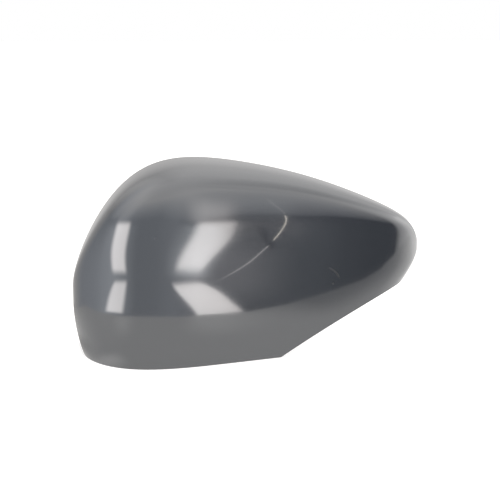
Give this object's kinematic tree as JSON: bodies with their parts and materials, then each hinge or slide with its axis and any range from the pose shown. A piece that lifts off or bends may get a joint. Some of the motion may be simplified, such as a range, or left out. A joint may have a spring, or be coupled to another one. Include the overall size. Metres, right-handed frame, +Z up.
{
  "type": "wing mirror cover",
  "caption": "One-piece moulded cover for a car's wing mirror: a deep rounded shell, open at the back and underneath, with snap hooks and locating pegs inside.",
  "frame": {"origin": "middle of the cover's length and depth, at the level of its flat bottom rim", "axes": "+X from the rounded outboard end to the tip, -Y to the front of the car, +Y to the mirror housing, +Z up"},
  "size_m": [0.225, 0.0644, 0.123],
  "materials": {
    "grey_primed_plastic": "smooth glossy mid-grey primer outside, the same plastic satin inside"
  },
  "bodies": {
    "root": {"mirror_cover": "grey_primed_plastic"}
  },
  "joints": []
}
